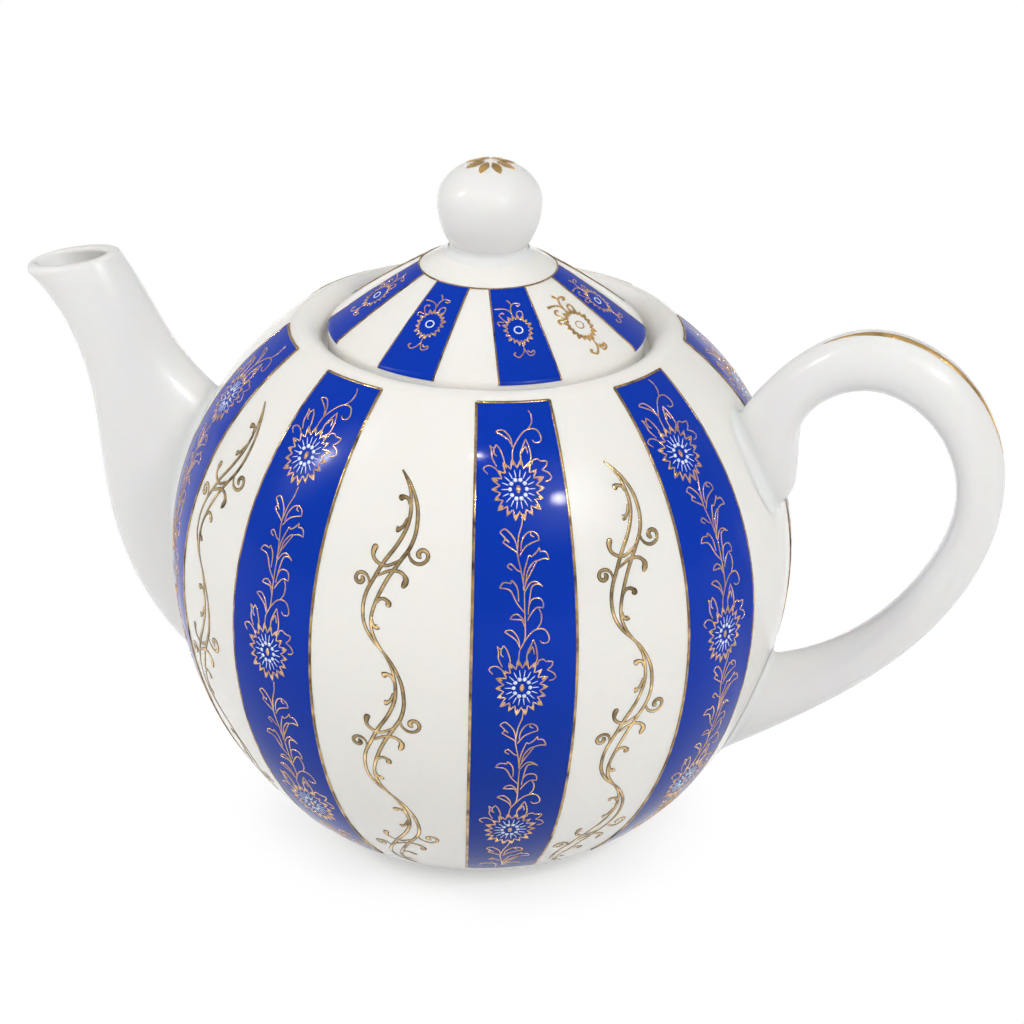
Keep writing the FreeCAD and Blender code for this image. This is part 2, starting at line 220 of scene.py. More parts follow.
glaze_flow, given, result = new_group(
    "glaze_flow", [("Scale", "Float"), ("Glossiest", "Float"), ("Dullest", "Float")],
    [("Roughness", "Float"), ("Height", "Float")],
)
gloss = noise(glaze_flow, given.outputs["Scale"], detail=3, stretch=2.5)
gloss = spread(glaze_flow, gloss, given.outputs["Glossiest"], given.outputs["Dullest"])
height = noise(glaze_flow, given.outputs["Scale"], detail=1)
set_inputs(glaze_flow, result, {"Roughness": gloss, "Height": height})

fired_tint_and_foot_shade, given, result = new_group(
    "fired_tint_and_foot_shade", [("Colour", "Color"), ("Clouds_and_foot_shade", "Color"), ("Scale", "Float"), ("Foot_shade_height", "Float")],
    [("Colour", "Color")],
)
cloud = spread(fired_tint_and_foot_shade, noise(fired_tint_and_foot_shade, given.outputs["Scale"], detail=4), 0, cloud_share)
# Darker towards the foot: painted shade.
foot = shade_to_foot(fired_tint_and_foot_shade, given.outputs["Foot_shade_height"])
cloud_and_foot_shade = add_node(fired_tint_and_foot_shade, "Math", {0: cloud, 1: foot}, operation="ADD", use_clamp=True)
shaded_tint = blend_colours(fired_tint_and_foot_shade, cloud_and_foot_shade.outputs["Value"], given.outputs["Colour"], given.outputs["Clouds_and_foot_shade"])
set_inputs(fired_tint_and_foot_shade, result, {"Colour": shaded_tint})

gilt_wear_and_shade, given, result = new_group(
    "gilt_wear_and_shade", [("Bright", "Color"), ("Rubbed_and_shaded", "Color"), ("Scale", "Float"), ("Outline", "Color")],
    [("Colour", "Color"), ("Roughness", "Float")],
)
# Rubbed places: wear, and partly painted shade in their darker colour.
wear_and_shade = spread(gilt_wear_and_shade, noise(gilt_wear_and_shade, given.outputs["Scale"], detail=5), 0, 1)
shaded_tint = blend_colours(gilt_wear_and_shade, wear_and_shade, given.outputs["Bright"], given.outputs["Rubbed_and_shaded"])
# Darker along the edges of strokes: painted shade.
edge = add_node(gilt_wear_and_shade, "Attribute", {}, attribute_name="edge").outputs["Fac"]
edge_shade = ramp(gilt_wear_and_shade, edge, edge_shade_start, edge_shade_full, 0, 1)
shaded_tint = blend_colours(gilt_wear_and_shade, edge_shade, shaded_tint, given.outputs["Outline"])
gloss = spread(gilt_wear_and_shade, wear_and_shade, gilt_glossiest, gilt_dullest)
set_inputs(gilt_wear_and_shade, result, {"Colour": shaded_tint, "Roughness": gloss})
print("Node groups:", [g.name for g in bpy.data.node_groups])

# %% [markdown]
# ## Glazed finishes
# Porcelain is a white body under clear glass. One Principled BSDF gives both: its base colour is the body,
# its reflection the glass. A little scattering under the surface softens the shade at thin edges. The
# spout, handle and knob are a cooler white than the globe, whose cover coat is faintly cream.

# %% Porcelain, cobalt and white enamel
tint_scale = 22  # clouds of colour in a metre
flow_scale = 30  # swells of the glaze in a metre
foot_shade_height = 0.075  # where the painted shade towards the foot begins
ripple = 0.12  # strength of the glaze's swell
ripple_depth = 1.5 * mm
scatter_depth = 2 * mm
glaze_glossiest = 0.07
glaze_dullest = 0.14


def new_finish(name):
    """New material; returns it with its node tree and its Principled BSDF."""
    material = bpy.data.materials.new(name)
    material.use_nodes = True
    return material, material.node_tree, material.node_tree.nodes["Principled BSDF"]


def glazed(name, colour, clouded_and_shaded, ior, scatter=0.0):
    """Glazed material: shared tint with painted foot shade, shared gloss, and a faint swell of the glaze."""
    material, tree, shader = new_finish(name)
    inputs = {"Colour": (*colour, 1), "Clouds_and_foot_shade": (*clouded_and_shaded, 1), "Scale": tint_scale, "Foot_shade_height": foot_shade_height}
    body = add_node(tree, "Group", inputs, node_tree=fired_tint_and_foot_shade)
    inputs = {"Scale": flow_scale, "Glossiest": glaze_glossiest, "Dullest": glaze_dullest}
    glaze = add_node(tree, "Group", inputs, node_tree=glaze_flow)
    inputs = {"Strength": ripple, "Distance": ripple_depth, "Height": glaze.outputs["Height"]}
    bump = add_node(tree, "Bump", inputs)
    set_inputs(tree, shader, {
        "Base Color": body.outputs["Colour"],
        "Roughness": glaze.outputs["Roughness"],
        "Normal": bump.outputs["Normal"],
        "IOR": ior,
        "Subsurface Weight": scatter,
        "Subsurface Scale": scatter_depth,
    })
    return material


cream_porcelain = glazed("cream_porcelain", (0.82, 0.805, 0.765), (0.81, 0.795, 0.755), 1.45, scatter=0.1)
white_porcelain = glazed("white_porcelain", (0.785, 0.785, 0.775), (0.78, 0.78, 0.775), 1.45, scatter=0.1)
# The cobalt's second colour is far darker, so its darkening towards the foot is a painted shade.
cobalt_glaze = glazed("cobalt_glaze", (0.0003, 0.034, 0.42), (0.0006, 0.028, 0.26), 1.20)
white_enamel = glazed("white_enamel", (0.78, 0.86, 0.95), (0.70, 0.80, 0.92), 1.45)
print("Glazed finishes: cream_porcelain, white_porcelain, cobalt_glaze, white_enamel")

# %% [markdown]
# ## Gilt finishes
# Gold on glaze is a film of real metal, so it is fully metallic and takes all its light from what it
# mirrors. On white its colour is darkened to bronze, a painted shade for the dim room that it mirrors, and
# the vines' strokes take a painted shade along their edges. The dark rubbed places are partly wear and
# partly painted shade. On cobalt the gold is thinner and redder. The rosette, the handle's line and the
# sprig on the lid's white panel are laid on thick, and stay yellow.

# %% Four golds
wear_scale = 260  # rubbed places in a metre
edge_shade_darkness = 0.6  # how dark the painted shade along a stroke's edge is, beside the rubbed gold


def gilded(name, bright, rubbed_and_shaded):
    """Gold film, brighter where thick and duller where rubbed; the rubbed colour is partly painted shade."""
    material, tree, shader = new_finish(name)
    edge_shade = [edge_shade_darkness * part for part in rubbed_and_shaded]
    inputs = {"Bright": (*bright, 1), "Rubbed_and_shaded": (*rubbed_and_shaded, 1), "Outline": (*edge_shade, 1), "Scale": wear_scale}
    film = add_node(tree, "Group", inputs, node_tree=gilt_wear_and_shade)
    set_inputs(tree, shader, {
        "Base Color": film.outputs["Colour"],
        "Roughness": film.outputs["Roughness"],
        "Metallic": 1,
    })
    return material


# Painted shade: the bronze gold is darkened for the dim room it mirrors.
gilt_shaded_to_bronze = gilded("gilt_shaded_to_bronze", (0.70, 0.48, 0.22), (0.05, 0.03, 0.01))
vine_gilt = gilded("vine_gilt", (0.95, 0.69, 0.36), (0.14, 0.09, 0.04))
copper_gilt = gilded("copper_gilt", (1.0, 0.68, 0.38), (0.46, 0.25, 0.12))
yellow_gilt = gilded("yellow_gilt", (0.95, 0.62, 0.24), (0.42, 0.26, 0.10))
print("Gilt finishes: gilt_shaded_to_bronze, vine_gilt, copper_gilt, yellow_gilt")

# %% [markdown]
# ## Dress the solid pieces
# The globe, spout, handle, lid, knob, stripes and rosette already have their true shape in the packed
# model, with exact normals. So they stay, and each only takes its finish.

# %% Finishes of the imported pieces
def finish_of(node):
    """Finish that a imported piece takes."""
    if "stripe" in node:
        return cobalt_glaze
    if node == "knob_rosette":
        return yellow_gilt
    return cream_porcelain if node in ("pot_body", "lid") else white_porcelain


for name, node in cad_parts.items():
    node.data.materials.clear()
    node.data.materials.append(finish_of(name))
print("Dressed", len(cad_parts), "packed pieces")

# %% [markdown]
# ## Where things lie on the glaze
# Ornament is drawn flat, in millimetres, and then laid on the pot. So we need the outline of the globe, and
# of the lid, measured along its surface: at an arc length v from a chosen line, how far out and how high is
# the glaze, and which way does it face? A table of short steps answers that, and a placer turns (u, v) into
# a point and a normal, with u the distance aside from a chosen upright line.

# %% Outlines of the globe and the lid
belly_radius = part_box("pot_body")[1].y
belly_height = 66.2 * mm
shoulder_rise = 65.0 * mm
bowl_drop = 74.0 * mm
transfer = 0.17 * mm  # glaze film and enamel of a stripe
outline_reach = 75  # degrees above and under the belly line
outline_steps = 240
least_step = 1e-9  # keeps two rows at one place from dividing by zero


def even_steps(start, end, count):
    """Values in even steps from a start to an end."""
    return [start + (end - start) * k / count for k in range(count + 1)]


def measured(spots):
    """Rows of arc length, radius with height, and outward normal, along an outline that runs up or in."""
    rows = []
    arc = 0.0
    for k, spot in enumerate(spots):
        step = spots[min(k + 1, len(spots) - 1)] - spots[max(k - 1, 0)]
        if k:
            arc += (spot - spots[k - 1]).length
        rows.append((arc, spot, Vector((step.y, -step.x)).normalized()))
    return rows


def moved(rows, start):
    """The same rows with their arc lengths counted from another place."""
    return [(arc - start, spot, normal) for arc, spot, normal in rows]


def globe_rise(above):
    """Half-height of the globe above its belly line, or under it."""
    return shoulder_rise if above else bowl_drop


def globe_spot(turn):
    """Radius and height on the globe; turn is negative under the belly line."""
    rise = globe_rise(turn > 0)
    return Vector((belly_radius * math.cos(turn), belly_height + rise * math.sin(turn)))


globe_turns = even_steps(-outline_reach, outline_reach, outline_steps)
globe_rows = measured([globe_spot(math.radians(turn)) for turn in globe_turns])
globe_rows = moved(globe_rows, globe_rows[outline_steps // 2][0])


def along(rows, arc):
    """Place and normal between two rows, at an arc length or whatever else the rows are sorted by."""
    k = bisect.bisect(rows, arc, key=lambda row: row[0])
    k = min(max(k, 1), len(rows) - 1)
    (start, spot, normal), (end, next_spot, next_normal) = rows[k - 1], rows[k]
    share = (arc - start) / max(end - start, least_step)
    return spot.lerp(next_spot, share), normal.lerp(next_normal, share).normalized()


def placer(rows, middle, lift=0.0):
    """Turns (u, v) millimetres about an upright line, at an angle in degrees, into a point and a normal."""
    def place(u, v):
        spot, normal = along(rows, v * mm)
        turn = math.radians(middle) + math.asin(u * mm / spot.x)
        out = Vector((math.cos(turn), math.sin(turn), 0))
        facing = out * normal.x + Vector((0, 0, normal.y))
        return out * spot.x + Vector((0, 0, spot.y)) + facing * lift, facing
    return place


def arc_ends(rows):
    """First and last arc length of an outline, in millimetres."""
    return [round(row[0] / mm, 1) for row in (rows[0], rows[-1])]


print("Globe outline:", len(globe_rows), "rows, arc", arc_ends(globe_rows), "mm")

# %% The lid's outline, from the rounded edge up to the ring round the knob
lid_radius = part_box("lid")[1].x
lid_edge_round = 2.2 * mm
knob_base_radius = 9.2 * mm
dome_rise = 17.2 * mm
dome_bulge = 0.5 * mm  # past a straight cone
lid_ring_radius = 14.8 * mm
lid_stripe_turn = math.radians(20)  # where the stripes end on the rounded edge, over its level line

dome_top = Vector((knob_base_radius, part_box("lid")[1].z))
dome_edge = Vector((lid_radius, dome_top.y - dome_rise))
chord = dome_top - dome_edge
dome_radius = (chord.length_squared / 4 + dome_bulge ** 2) / (2 * dome_bulge)
outward = Vector((chord.y, -chord.x)).normalized()
dome_centre = (dome_top + dome_edge) / 2 + outward * (dome_bulge - dome_radius)


def dome_spot(radius, lift=0.0):
    """Radius and height on the dome."""
    reach = dome_radius + lift
    return Vector((radius, dome_centre.y + math.sqrt(reach ** 2 - (radius - dome_centre.x) ** 2)))


rim_middle = dome_spot(lid_radius - lid_edge_round, -lid_edge_round)
dome_turn = math.atan2(rim_middle.y - dome_centre.y, rim_middle.x - dome_centre.x)


def rim_spot(turn):
    """Radius and height on the lid's rounded edge."""
    return rim_middle + Vector((math.cos(turn), math.sin(turn))) * lid_edge_round


rim_steps = 12
dome_steps = 60
lid_spots = [rim_spot(turn) for turn in even_steps(lid_stripe_turn, dome_turn, rim_steps)[:-1]]
dome_radii = even_steps(rim_spot(dome_turn).x, knob_base_radius, dome_steps)
lid_spots += [dome_spot(radius) for radius in dome_radii]
lid_rows = measured(lid_spots)
ring_row = min(lid_rows, key=lambda row: abs(row[1].x - lid_ring_radius))
lid_rows = moved(lid_rows, ring_row[0])
print("Lid outline:", len(lid_rows), "rows, arc", arc_ends(lid_rows), "mm from the ring")

# %% [markdown]
# ## Strokes
# A gilder draws with a brush: every stroke has a width that swells and thins, and the gold stands a hair's
# breadth proud. A curve object with a bevel would make round wire. So each stroke is a closed oval tube,
# wide and low, half sunk in the glaze, and a soft curve through a few given points carries it.

# %% Soft curves and raised strokes
stroke_sides = 6
stroke_rise = 0.07  # millimetres


def soft(points, steps=5):
    """Points of a soft curve that passes through the given ones (a Catmull-Rom spline)."""
    guides = [points[0], *points, points[-1]]
    run = []
    for k in range(len(points) - 1):
        a, b, c, d = (Vector(guide) for guide in guides[k:k + 4])
        square = 2 * a - 5 * b + 4 * c - d
        cube = 3 * b - a - 3 * c + d
        for s in range(steps):
            t = s / steps
            run.append(b + ((c - a) * t + square * t ** 2 + cube * t ** 3) / 2)
    run.append(Vector(points[-1]))
    return run


def swell(shape, share):
    """Width at a share of a stroke's length, from a few even-spaced widths."""
    place = share * (len(shape) - 1)
    k = min(int(place), len(shape) - 2)
    return shape[k] + (shape[k + 1] - shape[k]) * (place - k)


def tube_faces(first, rings, sides, closed):
    """Faces of a tube whose rings of corners follow one another in a mesh, from a first corner on."""
    faces = []
    for k in range(rings if closed else rings - 1):
        ring = first + k * sides
        ahead = first + (k + 1) % rings * sides
        for s in range(sides):
            n = (s + 1) % sides
            faces.append((ring + s, ring + n, ahead + n, ahead + s))
    return faces


def lay_stroke(mesh, place, points, width, shape=(1, 1), closed=False, rise=stroke_rise):
    """Adds a stroke along (u, v) points to a mesh, a pair of lists of corners and faces."""
    corners, faces = mesh
    spots = [place(*p) for p in points]
    count = len(spots)
    first = len(corners)
    for k, (spot, normal) in enumerate(spots):
        before = spots[(k - 1) % count if closed else max(k - 1, 0)][0]
        after = spots[(k + 1) % count if closed else min(k + 1, count - 1)][0]
        side = normal.cross(after - before).normalized()
        half = width / 2 * mm * swell(shape, k / (count - 1))
        for s in range(stroke_sides):
            turn = 2 * math.pi * s / stroke_sides
            corners.append(spot + side * half * math.cos(turn) + normal * rise * mm * math.sin(turn))
    faces.extend(tube_faces(first, count, stroke_sides, closed))
    if not closed:
        last = first + (count - 1) * stroke_sides
        faces.append(tuple(first + s for s in reversed(range(stroke_sides))))
        faces.append(tuple(last + s for s in range(stroke_sides)))


def add_piece(name, mesh, finish, body):
    """Makes a smooth mesh object that rides on a body."""
    data = bpy.data.meshes.new(name)
    data.from_pydata(mesh[0], [], mesh[1])
    data.polygons.foreach_set("use_smooth", [True] * len(data.polygons))
    data.materials.append(finish)
    piece = bpy.data.objects.new(name, data)
    bpy.context.scene.collection.objects.link(piece)
    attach(piece, body)
    return piece


def mark_edges(piece):
    """Stores where a piece made of strokes lies near their edges: 1 on an edge, less towards the middle."""
    mark = piece.data.attributes.new("edge", "FLOAT", "POINT")
    turns = [2 * math.pi * k / stroke_sides for k in range(len(piece.data.vertices))]
    mark.data.foreach_set("value", [abs(math.cos(turn)) for turn in turns])


# %% [markdown]
# ## Gilt edges of the stripes
# Each cobalt stripe is framed by a gold line on its two sides and across its top. The stripes taper, so the
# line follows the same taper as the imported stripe.

# %% Lines round the body stripes
stripe_step = 45.0
stripe_drift = (-4.0, 0.0, 0.0, -3.0, 3.9, -2.2, 0.8, -3.2)  # degrees off even spacing
stripe_middles = [stripe_step * (k + 0.5) + drift for k, drift in enumerate(stripe_drift)]
stripe_belly_half = 11.0  # millimetres
stripe_top_half = 7.6
stripe_top_radius = 42.6
stripe_foot_radius = 40.7
edge_line = 0.7  # width of the gold line
edge_rise = 0.16  # enough to cover the edge of the enamel
edge_steps = 60
top_steps = 12
taper_rounds = 3  # rounds in which a half-width settles


def arc_at(rows, radius, upper):
    """Arc length where the outline has a radius, above or below its reference line, in millimetres."""
    sides = [row for row in rows if (row[0] > 0) == upper]
    return min(sides, key=lambda row: abs(row[1].x - radius * mm))[0] / mm


def stripe_half(rows, v, start, end):
    """Half-width, at an arc length, of a stripe that tapers in plan between two (radius, half) pairs."""
    start_radius, start_half = start
    end_radius, end_half = end
    radius = along(rows, v * mm)[0].x / mm
    slope = (end_half - start_half) / (end_radius - start_radius)
    half = start_half
    for _ in range(taper_rounds):
        half = start_half + slope * (math.sqrt(radius ** 2 - half ** 2) - start_radius)
    return half


stripe_top = arc_at(globe_rows, stripe_top_radius, True)
stripe_foot = arc_at(globe_rows, stripe_foot_radius, False)


def body_half(v):
    """Half-width of a body stripe at an arc length from the belly line."""
    top = (stripe_top_radius, stripe_top_half)
    belly = (belly_radius / mm, stripe_belly_half)
    return stripe_half(globe_rows, v, top, belly)


def stripe_edge(half_at, side, top, foot):
    """Points down one side of a stripe."""
    return [(side * half_at(v), v) for v in even_steps(top, foot, edge_steps)]


for k, middle in enumerate(stripe_middles):
    mesh = ([], [])
    place = placer(globe_rows, middle, transfer / 2)
    for side in (-1, 1):
        side_line = stripe_edge(body_half, side, stripe_top, stripe_foot)
        lay_stroke(mesh, place, side_line, edge_line, rise=edge_rise)
    top_half = body_half(stripe_top)
    top_line = [(u, stripe_top) for u in even_steps(-top_half, top_half, top_steps)]
    lay_stroke(mesh, place, top_line, edge_line, rise=edge_rise)
    add_piece("stripe_edge_%d" % (k + 1), mesh, gilt_shaded_to_bronze, "pot")
stripe_span = [round(v, 1) for v in (stripe_foot, stripe_top)]
print("Gilt edges on", len(stripe_middles), "stripes, arc", stripe_span, "mm")

# %% Lines round the lid stripes and the ring round the knob
lid_stripe_middles = (-154.5, -104.5, -58.5, 4.5, 54.75, 105.0, 155.25)  # degrees
lid_stripe_rim_half = 6.8
lid_stripe_ring_half = 3.9
lid_line = 0.42
lid_rise = 0.15
ring_steps = 120


def lid_half(v):
    """Half-width of a lid stripe at an arc length from the ring."""
    ring = (lid_ring_radius / mm, lid_stripe_ring_half)
    rim = (lid_radius / mm, lid_stripe_rim_half)
    return stripe_half(lid_rows, v, ring, rim)


lid_foot = lid_rows[0][0] / mm
for k, middle in enumerate(lid_stripe_middles):
    mesh = ([], [])
    place = placer(lid_rows, middle, transfer / 2)
    for side in (-1, 1):
        lay_stroke(mesh, place, stripe_edge(lid_half, side, 0, lid_foot), lid_line, rise=lid_rise)
    add_piece("lid_stripe_edge_%d" % (k + 1), mesh, gilt_shaded_to_bronze, "lid")


def round_knob(angle, v):
    """Point and normal at an angle round the lid, at an arc length from the ring."""
    return placer(lid_rows, angle, transfer / 2)(0, v)


mesh = ([], [])
circle = [(360 * k / ring_steps, 0) for k in range(ring_steps)]
lay_stroke(mesh, round_knob, circle, lid_line, closed=True, rise=lid_rise)
add_piece("lid_ring", mesh, gilt_shaded_to_bronze, "lid")
print("Gilt edges on", len(lid_stripe_middles), "lid stripes, and a ring round the knob")

# %% [markdown]
# ## Garlands on the stripes
# A garland repeats down a stripe: a flower, a crown of buds and curls over it, and a leafy stem that comes
# down to it from the flower above. It is drawn as a gilder draws it, in soft strokes through a few given
# points, in millimetres from the flower's centre. The outline of a leaf is two or three strokes, so the
# tips between them stay sharp.

# %% Flowers
# share of a petal's step round the flower, and reach
PETAL = [(0.0, 0.70), (0.18, 0.78), (0.34, 0.90), (0.5, 1.0), (0.66, 0.90), (0.82, 0.78)]
petal_vary = 0.05  # how much longer or shorter a petal may be
petal_beat = 2.4  # radians from petal to petal, so that no two neighbours match
petal_shoulder = 0.75  # reach past which a petal's length counts


def round_point(centre, width, height, reach, turn):
    """Point about a centre, on an oval that is reached by a share."""
    return (centre[0] + width * reach * math.sin(turn), centre[1] + height * reach * math.cos(turn))


def petals(centre, width, height, count):
    """Closed outline of a flower's pointed petals, some a little longer than others."""
    ring = []
    for k in range(count):
        grow = 1 + petal_vary * math.sin(petal_beat * k)
        for share, reach in PETAL:
            turn = 2 * math.pi * (k + share) / count
            longer = grow if reach > petal_shoulder else 1
            ring.append(round_point(centre, width, height, reach * longer, turn))
    return ring


def rays(centre, width, height, inner, outer, count):
    """Short strokes along the middles of a flower's petals, between two shares of its reach."""
    turns = [2 * math.pi * (k + 0.5) / count for k in range(count)]
    reaches = (inner, (inner + outer) / 2, outer)
    return [[round_point(centre, width, height, reach, turn) for reach in reaches] for turn in turns]


def oval(centre, width, height, count=14):
    """Closed oval of points."""
    return [round_point(centre, width, height, 1, 2 * math.pi * k / count) for k in range(count)]


# %% One repeat of the garland
flower_width = 5.4
flower_height = 6.4
flower_petals = 18
petal_line = 0.32
tip_line = 0.60
tip_reach = (0.80, 0.98)  # shares of the flower's reach where the rays start and end
white_line = 0.20  # white rays inside the petals
white_reach = (0.40, 0.64)
white_bead = 0.92  # white beads round the middle
bead_reach = (0.25, 0.38)
bead_count = 10
gold_middle = 1.1
middle_reach = (-0.8, 0.8)  # millimetres
garland_line = 0.28
CROWN = [
    # curl over the flower, and the spur on its back
    [(-0.8, 6.0), (-0.6, 8.4), (0.6, 10.6), (1.9, 12.2), (3.2, 12.8), (4.6, 12.5), (5.4, 11.0), (5.2, 9.9),
     (4.1, 9.7), (3.6, 10.3)],
    [(2.9, 12.8), (3.7, 14.1), (3.8, 15.8), (3.3, 17.0)],
    # leaf on the curl
    [(-0.6, 8.9), (-1.3, 10.5), (-2.9, 11.8), (-3.7, 12.3)],
    [(-3.7, 12.3), (-3.1, 12.7), (-2.0, 12.5), (-0.9, 10.9), (-0.6, 8.9)],
    # left bud
    [(-4.1, 4.8), (-4.9, 6.6), (-4.9, 8.0), (-5.2, 9.3)],
    [(-5.2, 9.3), (-4.4, 8.7), (-3.9, 9.5)],
    [(-3.9, 9.5), (-3.2, 8.5), (-2.6, 6.6), (-2.5, 5.6)],
    [(-4.4, 8.6), (-4.4, 7.6), (-3.9, 7.0)],
    # right bud
    [(0.9, 5.1), (0.9, 7.4), (1.5, 9.0), (2.2, 10.6)],
    [(2.2, 10.6), (2.8, 8.7), (3.0, 6.4), (2.4, 5.0)],
    [(1.2, 7.6), (2.0, 9.0), (2.4, 7.4)],
    # left tendril and right trefoil
    [(-3.4, 3.1), (-4.5, 4.5), (-5.8, 5.0), (-6.8, 4.3), (-6.0, 3.2)],
    [(3.1, 5.0), (3.3, 5.9), (4.2, 6.2), (4.8, 5.7)],
    [(4.8, 5.7), (6.3, 5.6)],
    [(6.3, 5.6), (6.0, 4.6), (5.1, 3.8)],
    [(5.1, 3.8), (6.4, 3.1), (7.0, 2.1)],
    [(7.0, 2.1), (6.4, 1.5), (5.6, 1.4)],
]
STEM = [
    # stem, in two lengths
    [(0.5, 36.4), (0.3, 34.2), (-0.4, 32.0), (-0.7, 29.9), (-0.8, 27.9), (-0.1, 24.3), (0.4, 20.6)],
    [(0.4, 20.6), (0.4, 16.9), (0.5, 13.3), (0.4, 10.6), (-0.6, 8.4)],
    # top leaves, left and right
    [(-0.8, 28.2), (-1.1, 28.7), (-2.6, 29.8), (-3.7, 30.6)],
    [(-3.7, 30.6), (-3.2, 31.4), (-4.2, 32.6)],
    [(-4.2, 32.6), (-3.6, 33.2), (-2.8, 33.1), (-1.3, 31.2), (-0.8, 28.8)],
    [(-3.2, 31.4), (-2.4, 30.6)],
    [(-0.4, 27.8), (0.8, 29.6), (2.2, 30.4), (3.7, 30.9)],
    [(3.7, 30.9), (3.5, 31.8), (3.0, 32.4), (2.2, 32.8)],
    [(2.2, 32.8), (1.0, 32.2), (0.1, 30.6), (-0.1, 28.8)],
    [(2.2, 32.8), (2.0, 32.0), (2.7, 31.6)],
    # lily
    [(0.2, 21.0), (0.4, 24.3), (0.9, 26.2), (1.5, 28.0)],
    [(1.5, 28.0), (2.0, 27.6)],
    [(2.0, 27.6), (3.0, 28.4), (3.7, 29.4)],
    [(3.7, 29.4), (3.8, 28.5)],
    [(3.8, 28.5), (4.6, 28.6), (5.2, 28.1), (5.6, 26.9)],
    [(5.6, 26.9), (4.4, 27.1), (3.1, 26.7)],
    [(3.1, 26.7), (1.9, 24.6), (0.8, 22.6), (0.3, 20.9)],
    [(0.7, 22.4), (1.1, 24.6), (2.3, 26.4), (3.1, 26.7)],
    # leaves down the stem, left and right in turn
    [(-0.3, 24.6), (-1.0, 25.0), (-1.8, 25.9), (-2.4, 26.3), (-2.9, 25.7), (-2.0, 25.0)],
    [(0.5, 20.6), (1.6, 22.3), (2.9, 22.5), (4.2, 21.5)],
    [(4.2, 21.5), (3.2, 22.0), (2.0, 21.6), (1.5, 19.5), (1.1, 16.2)],
    [(0.6, 16.0), (-1.1, 18.2), (-2.5, 20.9), (-4.6, 21.4)],
    [(-4.6, 21.4), (-3.8, 22.5), (-2.3, 22.3)],
    [(-2.3, 22.3), (-2.1, 22.9), (-1.0, 21.3), (-0.8, 18.6)],
    [(1.1, 15.9), (1.3, 17.7), (2.0, 19.0), (3.5, 19.1), (4.2, 18.2), (4.2, 17.1)],
    [(4.2, 17.1), (2.8, 17.2), (1.5, 15.7), (1.0, 14.6)],
    [(0.4, 13.3), (-0.2, 14.7), (-1.3, 14.9), (-2.6, 15.0)],
    [(-2.6, 15.0), (-2.0, 15.8), (-0.9, 15.9), (0.4, 14.4)],
]


def lay_flower(gold, white, place, centre):
    """Lays one flower: gold petals with rays at their tips, white rays and beads, and a gold middle."""
    size = (centre, flower_width, flower_height)
    lay_stroke(gold, place, petals(*size, flower_petals), petal_line, closed=True)
    for ray in rays(*size, *tip_reach, flower_petals):
        lay_stroke(gold, place, ray, tip_line, (0.5, 1, 0.3))
    for ray in rays(*size, *white_reach, flower_petals):
        lay_stroke(white, place, ray, white_line, (1, 1, 0.5))
    for ray in rays(*size, *bead_reach, bead_count):
        lay_stroke(white, place, ray, white_bead, (0.6, 1, 0.6))
    for ray in rays(centre, 1, 1, *middle_reach, 1):
        lay_stroke(gold, place, ray, gold_middle, (0.5, 1, 0.5))


def garland(gold, white, place, centre, hanging, low):
    """Lays what stands above a low line of one repeat: a stem if it hangs from another, crown and flower."""
    for stroke in (STEM if hanging else []) + CROWN:
        run = [(centre[0] + u, centre[1] + v) for u, v in soft(stroke, 4)]
        if min(v for _, v in run) > low:
            lay_stroke(gold, place, run, garland_line, (0.8, 1.2, 0.8))
    if centre[1] - flower_height > low:
        lay_flower(gold, white, place, centre)


print("A garland has", len(CROWN), "strokes in its crown and", len(STEM), "in its stem")

# %% Garlands on all body stripes
garland_tops = (40.0, 40.0, 39.5, 40.5, 40.0, 40.4, 39.7, 40.9)  # first flower, from the belly line
garland_pitches = (41.4, 41.0, 41.6, 41.4, 42.0, 43.0, 41.4, 40.4)  # from flower to flower
garland_leans = (0.0, 0.3, -0.3, 0.2, 0.0, 0.8, 0.0, 1.4)  # how far the garland drifts aside at each flower
garland_aside = -0.5
garland_upright = 0.6  # flowers down from the first, where a leaning garland is not aside
garland_clear = 1.0  # left free over the foot of the stripe
garland_repeats = 4
for k, middle in enumerate(stripe_middles):
    gold = ([], [])
    white = ([], [])
    place = placer(globe_rows, middle, transfer)
    for repeat in range(garland_repeats):
        aside = garland_aside + garland_leans[k] * (repeat - garland_upright)
        centre = (aside, garland_tops[k] - garland_pitches[k] * repeat)
        garland(gold, white, place, centre, repeat > 0, stripe_foot + garland_clear)
    add_piece("garland_%d" % (k + 1), gold, copper_gilt, "pot")
    add_piece("garland_beads_%d" % (k + 1), white, white_enamel, "pot")
print("Garlands laid on", len(stripe_middles), "stripes")

# %% [markdown]
# ## Scroll vines on the white panels
# Between the stripes two long strokes cross and part again, with hooks and volutes springing from them. A
# volute is a spiral, so a formula draws it: the angle grows evenly while the radius shrinks.

